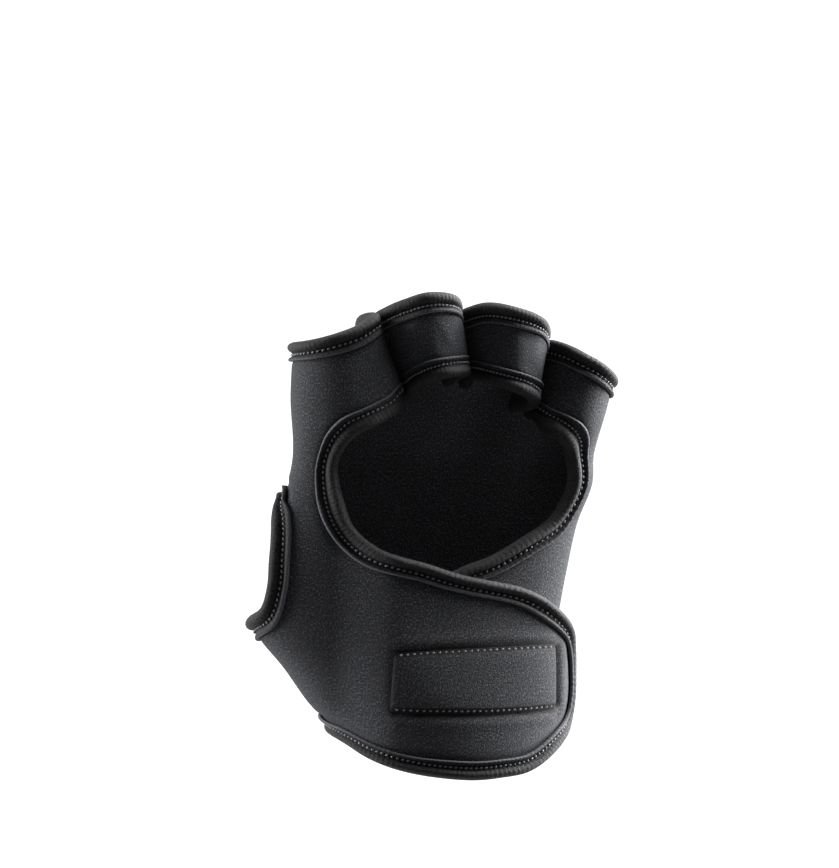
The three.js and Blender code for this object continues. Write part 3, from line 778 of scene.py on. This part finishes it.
def makePanel():
    inset = cut["inset"]
    outline = np.concatenate([
        rimPath + leftOf(rimPath) * inset,
        (edgePath - leftOf(edgePath) * inset)[::-1],
    ])[::2]
    hole = (thumbPath + leftOf(thumbPath, True) * inset)[::2]
    step = panel["meshStep"]
    rowStep = step * math.sqrt(3) / 2
    low, high = outline.min(axis=0), outline.max(axis=0)
    grid = [
        (x + (step / 2 if k % 2 else 0), z)
        for k, z in enumerate(np.arange(low[1], high[1], rowStep))
        for x in np.arange(low[0], high[0], step)
    ]
    grid = np.array(grid)
    grid = grid[insidePolygon(grid, outline) & ~insidePolygon(grid, hole)]
    grid = grid[nearestOn([outline, hole], grid) > panel["keepClear"] * step]
    points = np.concatenate([outline, hole, grid])
    loops = []
    start = 0
    for ring in (outline, hole):
        n = len(ring)
        loops += [(start + i, start + (i + 1) % n) for i in range(n)]
        start += n
    made = delaunay_2d_cdt([Vector(p) for p in points.tolist()], loops, [], 0, 1e-5)
    flat = np.array([v[:] for v in made[0]])
    faces = np.array(made[2])
    centres = flat[faces].mean(axis=1)
    faces = faces[insidePolygon(centres, outline) & ~insidePolygon(centres, hole)]
    # keep the corners in order round each triangle
    a, b, c = flat[faces[:, 0]], flat[faces[:, 1]], flat[faces[:, 2]]
    wrong = (b[:, 0] - a[:, 0]) * (c[:, 1] - a[:, 1]) - (b[:, 1] - a[:, 1]) * (c[:, 0] - a[:, 0]) < 0
    faces[wrong] = faces[wrong][:, ::-1]
    distance = nearestOn([edgePath, rimPath, thumbPath], flat)
    count = len(flat)
    outer = squeezed(np.zeros(count), distance)
    strap = (flat[:, 0] > panel["strapAcross"]) & (flat[:, 1] < panel["strapBelow"])
    outer[strap] += patchBed(flat[strap, 0], flat[strap, 1])
    inner = squeezed(np.full(count, -cut["neoprene"]), distance)
    laid = np.concatenate([
        gloveSkin(flat[:, 0], flat[:, 1], outer), gloveSkin(flat[:, 0], flat[:, 1], inner)])
    edges = {}
    for f in faces:
        for i in range(3):
            edges[(f[i], f[(i + 1) % 3])] = True
    walls = [(b, a, a + count, b + count) for a, b in edges if (b, a) not in edges]
    every = [tuple(f) for f in faces] + [tuple(f[::-1] + count) for f in faces] + walls
    made = makeObject("handPanel", laid, every, jersey, np.concatenate([flat, flat]))
    # painted shade: black where the strap's face sinks round the patch, none on the inner face
    sunk = np.where(strap, smooth(-patchBed(flat[:, 0], flat[:, 1]), 0.1, 0.5), 0)
    addPaintedCreaseShade(made, np.concatenate([sunk, sunk * 0]))
    return made


handPanel = makePanel()
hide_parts("hand_panel")
print("hand panel cut and laid:", len(handPanel.data.polygons), "faces")


def gridFaces(rows, columns, first=0):
    return [
        (first + r * columns + c, first + r * columns + c + 1,
         first + (r + 1) * columns + c + 1, first + (r + 1) * columns + c)
        for r in range(rows - 1) for c in range(columns - 1)
    ]


# A closed slab from two grids of points, the outer and the inner face.
def slabFaces(rows, columns):
    count = rows * columns
    faces = gridFaces(rows, columns) + [f[::-1] for f in gridFaces(rows, columns, count)]
    ring = (
        [c for c in range(columns)] + [r * columns + columns - 1 for r in range(1, rows)]
        + [(rows - 1) * columns + c for c in range(columns - 2, -1, -1)]
        + [r * columns for r in range(rows - 2, 0, -1)]
    )
    for a, b in zip(ring, ring[1:] + ring[:1]):
        faces.append((b, a, a + count, b + count))
    return faces


# A closed slab: places laid at two depths of a skin.
def makeSlab(name, skin, a, z, top, bottom, shape, material, patternApart=0):
    laid = np.concatenate([skin(a, z, top), skin(a, z, bottom)])
    flat = np.stack([a + patternApart, z], axis=1)
    return makeObject(name, laid, slabFaces(*shape), material, np.concatenate([flat, flat]))


bands = {
    "margin": 0.6,  # left free at both ends
    "mesh": (112, 34),
    "pathSteps": 130,
    "creaseCount": 5, "creaseDepth": 0.25,
    "creaseAt": (18, 60), "creaseReach": (2.5, 5), "creaseLean": (-0.4, 0.4),
    "creaseFrom": (6, 9),  # from the bindings' folds
    "middle": 130,  # height
}


def acrossBand(count):
    return np.linspace(bands["margin"], cut["archSpan"] - bands["margin"], count)


def makeBand(name, edges, skin, seed):
    across = acrossBand(bands["mesh"][0])
    share = np.linspace(0, 1, bands["mesh"][1])
    grid = np.meshgrid(across, share)
    a, s = grid[0].ravel(), grid[1].ravel()
    low, high = edges(a).T
    z = low + cut["inset"] + (high - low - 2 * cut["inset"]) * s
    distance = np.minimum(z - low, high - z)
    # soft cross creases where the band bends most
    draw = random.Random(seed)
    crease = np.zeros(len(a))
    for _ in range(bands["creaseCount"]):
        at, reach, lean = (draw.uniform(*bands[key]) for key in ("creaseAt", "creaseReach", "creaseLean"))
        crease += draw.choice([-1, 1]) * ridge(a - lean * (z - bands["middle"]), (1, at, reach))
    outer = squeezed(np.zeros(len(a)), distance)
    outer += bands["creaseDepth"] * crease * smooth(distance, *bands["creaseFrom"])
    inner = squeezed(np.full(len(a), -cut["neoprene"]), distance)
    return makeSlab(name, skin, a, z, outer, inner, grid[0].shape, jersey)


middleBand = makeBand("middleBand", middleEdges, middleSkin, 3)
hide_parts("middle_band")
ringBand = makeBand("ringBand", ringEdges, ringSkin, 5)
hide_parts("ring_band")
print("finger bands laid")

# Folded binding, from its loose edge on the face over the fold to the inside:
# [distance in from the fold, height when full, height where pressed flat in the webs]
tape = {
    "profile": [
        (6.95, -0.2, -0.22), (7.05, 0.2, 0.0), (7.0, 0.62, 0.2), (6.85, 0.95, 0.38), (6.55, 1.12, 0.5),
        (6.2, 1.1, 0.52), (5.85, 0.86, 0.46), (5.55, 0.46, 0.34), (5.25, 0.14, 0.2), (4.85, 0.02, 0.1),
        (4.35, 0.0, 0.1), (3.95, 0.1, 0.16), (3.65, 0.42, 0.32), (3.3, 0.92, 0.5), (2.75, 1.36, 0.65),
        (2.1, 1.56, 0.7),
        (1.4, 1.5, 0.68), (0.75, 1.12, 0.55), (0.25, 0.45, 0.2), (-0.08, -0.35, -0.45),
        (-0.18, -1.2, -1.2), (-0.08, -2.1, -2.0), (0.25, -2.75, -2.6), (0.9, -3.2, -2.95),
        (1.8, -3.4, -3.05), (3.2, -3.36, -3.05), (4.2, -3.1, -2.95), (4.6, -3.0, -2.9),
        (5.0, -3.1, -2.95), (5.9, -3.2, -3.0), (6.7, -3.05, -2.95), (7.0, -2.7, -2.65),
        (6.8, -2.42, -2.42), (4.0, -2.32, -2.32), (1.5, -2.3, -2.3), (0.95, -2.2, -2.2),
        (0.85, -1.3, -1.3), (0.95, -0.4, -0.4), (1.5, -0.3, -0.3), (4.0, -0.28, -0.28),
        (6.4, -0.26, -0.28),
    ],
    "onFace": -0.2,  # profile points above this height are on the face
    "drawnIn": 0.86,  # share of the profile's width that is left when it is worn
    "groove": 4.55,
    "grooveBed": 0.04,
    "stitchPitch": 1.7,
    "pucker": 0.16,
    "bead": (0.4, 2.2, 1.4), "looseRidge": (0.6, 6.3, 0.7),  # share of the pucker, place and width
    "pulledIn": 0.3,  # how far a stitch draws the loose ridge in
    "waves": 4, "waveSize": (0.06, 0.25), "waveStart": (0, 6.28), "waveTurn": (0.03, 0.07),
    "wanderFrom": 5, "wander": 1.5,  # of the loose edge only
    "knots": 60,  # of the uneven pucker
}
stitch = {
    "length": 1.0, "radius": 0.26, "lift": 0.3, "tilt": 14, "dive": 0.3,
    "sides": 8, "rings": 7,
    "tiltSpread": (-6, 6), "liftSpread": (-0.04, 0.04), "lengthSpread": (0.92, 1.08),
}


# Where the bead is pressed flat: in the webs, above a height, over these places across.
flatToward = {"above": 104, "index": (30, 36), "little": (22, 28), "archStart": (14, 22), "archEnd": (48, 56)}


def glovePlump(a, z):
    towardIndex = 1 - smooth(a, *flatToward["index"])
    towardLittle = 1 - smooth(-a - cut["palmSpan"], *flatToward["little"])
    return np.where(z < flatToward["above"], 1, np.where(a > 0, towardIndex, towardLittle))


def bandPlump(a, z):
    return smooth(a, *flatToward["archStart"]) * (1 - smooth(a, *flatToward["archEnd"]))


# Faces of a tube of rings; an open one has a cap at both ends.
def tubeFaces(rings, sides, closed=False):
    faces = [
        (i * sides + k, i * sides + (k + 1) % sides,
         (i + 1) % rings * sides + (k + 1) % sides, (i + 1) % rings * sides + k)
        for i in range(rings if closed else rings - 1) for k in range(sides)
    ]
    if not closed:
        faces += [tuple(range(sides))[::-1], tuple((rings - 1) * sides + k for k in range(sides))]
    return faces


# Adds a body's points and faces to those of a row.
def addBody(points, faces, body, bodyFaces):
    first = len(points)
    points += body
    faces += [tuple(first + k for k in face) for face in bodyFaces]


# One stitch: a short bar of thread that dives in at both ends.
def stitchBody(middle, along, outward, length, radius):
    side = np.cross(outward, along)
    points, rings, sides = [], stitch["rings"], stitch["sides"]
    for i in range(rings):
        f = i / (rings - 1) * 2 - 1
        thick = radius * math.sqrt(max(1 - abs(f) ** 3.2, 0.02))
        centre = middle + along * (f * length / 2) - outward * (stitch["dive"] * f**2)
        for k in range(sides):
            turn = 2 * math.pi * k / sides
            points.append(centre + side * (thick * math.cos(turn)) + outward * (thick * math.sin(turn)))
    return points, tubeFaces(rings, sides)


# A row of stitches along places on the pattern, evenly pitched.
def stitchRow(places, skin, height, pitch, draw, closed=False):
    if closed:
        places = np.concatenate([places, places[:1]])
        height = np.concatenate([height, height[:1]])
    run = runAlong(places)
    count = max(1, round(run[-1] / pitch))
    at = (np.arange(count) + 0.5) * run[-1] / count
    a, z, h = (np.interp(at, run, column) for column in (places[:, 0], places[:, 1], height))
    ahead = [np.interp(np.minimum(at + 0.5, run[-1]), run, places[:, k]) for k in (0, 1)]
    behind = [np.interp(np.maximum(at - 0.5, 0), run, places[:, k]) for k in (0, 1)]
    middle = skin(a, z, h)
    along = skin(*ahead, h) - skin(*behind, h)
    along /= np.linalg.norm(along, axis=1, keepdims=True)
    outward = skin(a, z, h + 0.5) - skin(a, z, h - 0.5)
    outward -= along * (outward * along).sum(axis=1, keepdims=True)
    outward /= np.linalg.norm(outward, axis=1, keepdims=True)
    points, faces = [], []
    for m, d, n in zip(middle, along, outward):
        turn = math.radians(stitch["tilt"] + draw.uniform(*stitch["tiltSpread"]))
        leaning = d * math.cos(turn) + np.cross(n, d) * math.sin(turn)
        lifted = m + n * draw.uniform(*stitch["liftSpread"])
        length = stitch["length"] * draw.uniform(*stitch["lengthSpread"])
        addBody(points, faces, *stitchBody(lifted, leaning, n, length, stitch["radius"]))
    return points, faces


def drawnIn(a, z):
    return np.full(len(a), tape["drawnIn"])


def makeTape(name, path, skin, plump, seed, closed=False, narrowing=drawnIn):
    draw = random.Random(seed)
    side = leftOf(path, closed)
    profile = np.array(tape["profile"])
    narrow = narrowing(path[:, 0], path[:, 1])
    groove = path + side * (tape["groove"] * narrow)[:, None]
    run = runAlong(groove)
    total = run[-1] + (np.hypot(*(groove[0] - groove[-1])) if closed else 0)
    count = max(1, round(total / tape["stitchPitch"]))
    pull = 0.5 - 0.5 * np.cos(2 * math.pi * run / total * count)  # 1 at the middle of a stitch
    # slow wander of the fold and of the loose edge
    waves = [[draw.uniform(*tape[key]) for key in ("waveSize", "waveStart", "waveTurn")]
             for _ in range(tape["waves"])]
    wander = sum(size * np.sin(f * run + start) for f, start, size in waves)
    if closed:
        wander *= np.sin(math.pi * run / total) ** 0.5
    knots = [draw.random() for _ in range(tape["knots"])]
    uneven = 0.6 + 0.7 * np.interp(run, np.linspace(0, run[-1], len(knots)), knots)
    full = plump(path[:, 0], path[:, 1])
    points, uvs = [], []
    lengthAcross = runAlong(profile[:, :2])
    for k, (inward, height, flatHeight) in enumerate(profile):
        h = flatHeight + (height - flatHeight) * full
        w = np.full(len(path), inward)
        if height > tape["onFace"]:
            onRidge = ridge(inward, tape["looseRidge"])
            sunk = ridge(inward, tape["bead"]) + onRidge
            h = h - tape["pucker"] * full * (pull - 0.5) * uneven * sunk
            w = w - tape["pulledIn"] * onRidge * (pull - 0.5)
        if inward > tape["wanderFrom"]:
            w = w + wander * tape["wander"]
        if inward > 0:
            w = w * narrow
        place = path + side * w[:, None]
        points.append(skin(place[:, 0], place[:, 1], h))
        # the second coordinate of the pattern is the distance in from the fold, on the face
        fromFold = inward if height > tape["onFace"] else -lengthAcross[k]
        uvs.append(np.stack([run, np.full(len(path), fromFold)], axis=1))
    points = np.stack(points, axis=1).reshape(-1, 3)
    uvs = np.stack(uvs, axis=1).reshape(-1, 2)
    made = makeObject(name, points, tubeFaces(len(path), len(profile), closed), binding, uvs)
    grooveHeight = tape["grooveBed"] + stitch["lift"] * (0.5 + 0.5 * full)
    return made, stitchRow(groove, skin, grooveHeight, tape["stitchPitch"], draw, closed)


def joinStitches(name, rows):
    points, faces = [], []
    for row in rows:
        addBody(points, faces, *row)
    made = makeObject(name, points, faces, thread)
    return made


# Where the binding is slimmer: on the strap, where the wrist hem turns under at the thumb side,
# and at the top of the thumb hole.
slim = {
    "hem": (1, 3, 13), "hemBelow": 30, "hemFlatter": 0.6, "hemNarrower": 0.25,
    "strapFrom": (8, 30), "strapTop": (72, 84), "strapNarrower": 0.1,
    "thumbShare": 0.88, "thumbTop": (76, 83), "thumbNarrower": 0.3,
}


def hemTurn(a, z):
    return ridge(a, slim["hem"]) * (z < slim["hemBelow"])


def edgePlump(a, z):
    return glovePlump(a, z) * (1 - slim["hemFlatter"] * hemTurn(a, z))


def edgeDrawnIn(a, z):
    onStrap = smooth(a, *slim["strapFrom"]) * (1 - smooth(z, *slim["strapTop"]))
    return tape["drawnIn"] - slim["strapNarrower"] * onStrap - slim["hemNarrower"] * hemTurn(a, z)


def thumbDrawnIn(a, z):
    return slim["thumbShare"] - slim["thumbNarrower"] * smooth(z, *slim["thumbTop"])


edgeTape, edgeStitches = makeTape("edgeTape", edgePath[::-1], gloveSkin, edgePlump, 11,
                                  narrowing=edgeDrawnIn)
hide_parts("edge_tape")
rimTape, rimStitches = makeTape("fingerRimTape", rimPath, gloveSkin, glovePlump, 12)
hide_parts("finger_rim_tape")
thumbTape, thumbStitches = makeTape("thumbHoleTape", thumbPath, gloveSkin, glovePlump, 13, closed=True,
                                    narrowing=thumbDrawnIn)
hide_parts("thumb_hole_tape")


def bandPath(edges, side):
    across = acrossBand(bands["pathSteps"])
    points = np.stack([across, edges(across)[:, side]], axis=1)
    return points[::-1] if side else points


bandTapes, bandStitches = [], []
for name, node, edges, skin, side, seed in (
    ("middleUpperTape", "middle_upper_tape", middleEdges, middleSkin, 1, 21),
    ("middleLowerTape", "middle_lower_tape", middleEdges, middleSkin, 0, 22),
    ("ringUpperTape", "ring_upper_tape", ringEdges, ringSkin, 1, 23),
    ("ringLowerTape", "ring_lower_tape", ringEdges, ringSkin, 0, 24),
):
    made, row = makeTape(name, bandPath(edges, side), skin, bandPlump, seed)
    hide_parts(node)
    bandTapes.append(made)
    bandStitches.append(row)

panelStitches = joinStitches("panelStitches", [edgeStitches, rimStitches, thumbStitches])
middleStitches = joinStitches("middleStitches", bandStitches[:2])
ringStitches = joinStitches("ringStitches", bandStitches[2:])
print("bindings folded and stitched")


def patchPlaces(share, z):
    left, right = np.interp(z, patchZ, patchLeft), np.interp(z, patchZ, patchRight)
    return left + (right - left) * share


# Height of a rounded edge, from 0 to 1, at a distance in from it.
def roundedEdge(distance, radius):
    return np.sqrt(np.clip(1 - (1 - np.clip(distance / radius, 0, 1)) ** 2, 0, 1))


def patchFace(share, f, length):
    tall = patchHigh(share) - patchLow(share)
    run, up = share * length, f * tall
    toLong = np.minimum(up, tall - up)
    toEdge = np.minimum(np.minimum(run, length - run), toLong)
    rounded = roundedEdge(toEdge, patch["edgeRadius"])
    sewn = ridge(toLong, (patch["rowDepth"], patch["rowInset"], patch["rowWidth"]))
    puckers = 0.5 - 0.5 * np.cos(2 * math.pi * run / patch["rowPitch"])
    pillow = patch["pillow"] * smooth(toLong, *patch["pillowFrom"])
    return (patch["seat"] + patch["rise"] * (0.3 + 0.7 * rounded) + ridge(toLong, patch["sunk"])
            + pillow - sewn * (0.55 + 0.45 * puckers))


def makePatch():
    columns, levels = patch["mesh"]
    share, f = np.meshgrid(np.linspace(0, 1, columns), np.linspace(0, 1, levels))
    share, f = share.ravel(), f.ravel()
    z = patchLow(share) + (patchHigh(share) - patchLow(share)) * f
    across = patchPlaces(share, z)
    length = np.interp(z, patchZ, patchRight) - np.interp(z, patchZ, patchLeft)
    bed = patchBed(across, z)
    bottom = bed + patch["gap"]
    top = np.maximum(patchFace(share, f, length), bottom + patch["thinnest"])
    made = makeSlab("strapPatch", gloveSkin, across, z, top, bottom, (levels, columns), patchJersey,
                    patch["patternApart"])
    tall = patchHigh(share) - patchLow(share)
    toLong = np.minimum(f, 1 - f) * tall
    toEnd = np.minimum(share, 1 - share) * length
    # painted shade: black along the patch's sewn long edges and at its ends
    seamShade = np.maximum(smooth(toLong, 1.9, 1.1), 0.9 * smooth(toEnd, 0.6, 0.2))
    addPaintedCreaseShade(made, np.concatenate([seamShade, seamShade]))
    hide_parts("strap_patch")
    return made


strapPatch = makePatch()
draw = random.Random(31)
rows = []
for onTop in (False, True):
    share = np.linspace(*patch["rowEnds"], patch["rowSteps"])
    z = patchHigh(share) - patch["rowInset"] if onTop else patchLow(share) + patch["rowInset"]
    places = np.stack([patchPlaces(share, z), z], axis=1)
    height = np.full(len(share), patch["rowHeight"])
    rows.append(stitchRow(places, gloveSkin, height, patch["rowPitch"], draw))
patchStitches = joinStitches("patchStitches", rows)
print("patch sewn on")

# Hook tape on the underlap, where the strap's loop side closes.
pad = {
    "across": (61, 86), "z": (17, 45), "mesh": (60, 66),
    "seat": 0.55, "rise": 1.4, "corner": 1.0,
    "stubble": (0, 0.22),
}


def makePad():
    columns, levels = pad["mesh"]
    a, z = np.meshgrid(np.linspace(*pad["across"], columns), np.linspace(*pad["z"], levels))
    a, z = a.ravel(), z.ravel()
    toSides = np.minimum(a - pad["across"][0], pad["across"][1] - a)
    toEdge = np.minimum(toSides, np.minimum(z - pad["z"][0], pad["z"][1] - z))
    rounded = roundedEdge(toEdge, pad["corner"])
    stubble = np.array([draw.uniform(*pad["stubble"]) for _ in a]) * rounded
    top = pad["seat"] + pad["rise"] * (0.35 + 0.5 * rounded) + stubble
    bottom = np.full(len(a), pad["seat"])
    made = makeSlab("closurePad", underSkin, a, z, top, bottom, (levels, columns), hooks)
    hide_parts("closure_pad")
    return made


closurePad = makePad()
print("closure pad laid")

# Studio: a pale round room, brightest behind the glove, with soft boxes at both sides.
studio = {
    "floorZ": -1.2,
    "radius": 3.2,
    "height": 4.5,
    "cove": 0.8, "coveSteps": 12,
    "sides": 96,
    "wall": "#8c8c8c",
    "glow": (0.03, 1.0),  # of the wall in front and behind
    "glowFrom": (-1.6, 1.2),
    "world": 0.2,
    "aim": (0, 0, 0.075),
    "boxes": [  # name, place, size, power
        ("leftSoftbox", (-1.1, 0.34, 0.3), (0.5, 1.1), 62),
        ("rightSoftbox", (1.1, 0.22, 0.42), (0.65, 1.1), 155),
        ("topSoftbox", (0.6, 0.06, 1.0), (0.9, 0.6), 50),
    ],
}


def makeStudio():
    radius, cove = studio["radius"], studio["cove"]
    profile = [(0.001, studio["floorZ"]), (radius - cove, studio["floorZ"])]
    for i in range(1, studio["coveSteps"] + 1):
        turn = i / studio["coveSteps"] * math.pi / 2
        bend = radius - cove + cove * math.sin(turn)
        profile.append((bend, studio["floorZ"] + cove * (1 - math.cos(turn))))
    profile.append((radius, studio["height"]))
    sides = studio["sides"]
    points, faces = [], []
    for far, z in profile:
        for k in range(sides):
            turn = 2 * math.pi * k / sides
            points.append((far * math.cos(turn), far * math.sin(turn), z))
    for i in range(len(profile) - 1):
        for k in range(sides):
            m = (k + 1) % sides
            faces.append((i * sides + k, (i + 1) * sides + k, (i + 1) * sides + m, i * sides + m))
    mesh = bpy.data.meshes.new("studioRoom")
    mesh.from_pydata(points, [], faces)
    mesh.polygons.foreach_set("use_smooth", [True] * len(mesh.polygons))
    room = bpy.data.objects.new("studioRoom", mesh)
    bpy.context.collection.objects.link(room)
    # seamless white paper, lit so brightly behind the glove that it reads as plain white
    material, tree, surface = startMaterial("whiteStudioPaper")
    place = addNode(tree, "TexCoord")
    parts = addNode(tree, "SeparateXYZ", {}, {0: place.outputs["Object"]})
    fillIn(tree, surface, {
        "Emission Strength": ramp(tree, parts.outputs[1], *studio["glowFrom"], *studio["glow"]),
        "Emission Color": (1, 1, 1, 1),
        "Base Color": srgb(studio["wall"]),
        "Roughness": 0.9,
    })
    mesh.materials.append(material)
    aim = Vector(studio["aim"])
    for name, place, size, power in studio["boxes"]:
        light = bpy.data.lights.new(name, "AREA")
        light.shape = "RECTANGLE"
        light.size, light.size_y = size
        light.energy = power
        box = bpy.data.objects.new(name, light)
        box.location = place
        box.rotation_euler = (aim - Vector(place)).to_track_quat("-Z", "Y").to_euler()
        bpy.context.collection.objects.link(box)
    world = bpy.data.worlds.new("paleStudio")
    world.use_nodes = True
    background = world.node_tree.nodes["Background"]
    fillIn(world.node_tree, background, {"Color": (1, 1, 1, 1), "Strength": studio["world"]})
    bpy.context.scene.world = world
    bpy.context.scene.view_settings.view_transform = "Standard"


makeStudio()
print("studio lit")
